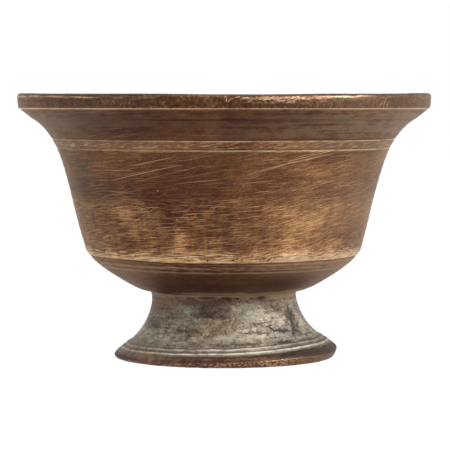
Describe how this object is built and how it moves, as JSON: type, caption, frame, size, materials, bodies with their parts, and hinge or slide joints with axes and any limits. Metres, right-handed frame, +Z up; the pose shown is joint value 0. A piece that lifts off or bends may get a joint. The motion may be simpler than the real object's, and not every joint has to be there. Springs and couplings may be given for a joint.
{
  "type": "baptismal font",
  "caption": "Small footed bronze font bowl with a flat everted lip, soldered onto a hollow moulded foot, for holding baptismal water.",
  "frame": {"origin": "centre of the bowl's axis on the surface the foot stands on", "axes": "+Z up along the bowl's axis; -Y is the side seen from the front; the foot leans with its +X side up"},
  "size_m": [0.1597, 0.1596, 0.102],
  "materials": {
    "bowl_bronze": "cast and turned bronze, worn red-brown patina, golden on the shoulder and lip edges",
    "foot_bronze": "cast bronze, dull grey-green and buff patina with brown wear on the flange",
    "solder": "dull oxidised soft solder"
  },
  "bodies": {
    "root": {"bowl": "bowl_bronze", "foot": "foot_bronze", "solder_joint": "solder"}
  },
  "joints": []
}
